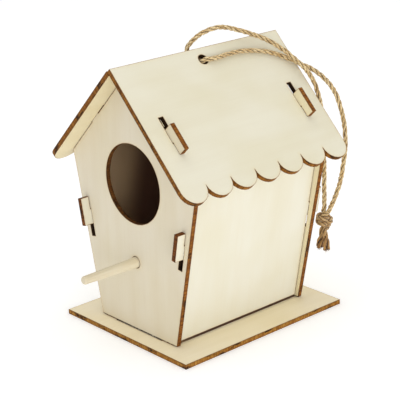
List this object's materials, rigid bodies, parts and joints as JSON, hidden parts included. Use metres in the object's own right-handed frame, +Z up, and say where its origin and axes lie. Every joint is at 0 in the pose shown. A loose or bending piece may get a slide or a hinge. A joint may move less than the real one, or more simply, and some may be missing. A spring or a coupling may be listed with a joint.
{
  "type": "birdhouse",
  "caption": "Hanging birdhouse of slot-together plywood with leaning sides, a round entrance, a peg perch, a scalloped pitched roof and a knotted jute cord loop",
  "frame": {"origin": "centre of the base plate's underside", "axes": "+X to the right as one looks at the entrance; +Y to the back, away from the entrance; +Z up"},
  "size_m": [0.1266, 0.1626, 0.1748],
  "materials": {
    "base_plywood": "unfinished basswood plywood with charred laser-cut edges",
    "wall_plywood": "unfinished basswood plywood with charred laser-cut edges",
    "side_plywood": "unfinished basswood plywood with charred laser-cut edges",
    "roof_plywood": "unfinished basswood plywood with charred laser-cut edges",
    "peg_wood": "turned and sanded, unfinished",
    "jute": "three-ply twisted jute twine, hairy"
  },
  "bodies": {
    "house": {"base_plate": "base_plywood", "front_panel": "wall_plywood", "back_panel": "wall_plywood", "right_side_panel": "side_plywood", "left_side_panel": "side_plywood", "perch": "peg_wood", "cord_right_run": "jute", "cord_left_run": "jute", "cord_knot": "jute", "cord_left_tail": "jute", "cord_right_tail": "jute"},
    "right_roof": {"right_roof_panel": "roof_plywood"},
    "left_roof": {"left_roof_panel": "roof_plywood"}
  },
  "joints": [
    {"name": "right_roof_slide", "type": "slide", "parent": "house", "child": "right_roof", "axis": [0.6947, 0, -0.7193], "range_m": [0, 0.0075], "deforming": ["cord_right_run"]},
    {"name": "left_roof_slide", "type": "slide", "parent": "house", "child": "left_roof", "axis": [-0.6947, 0, -0.7193], "range_m": [0, 0.0075], "deforming": ["cord_left_run"]}
  ]
}
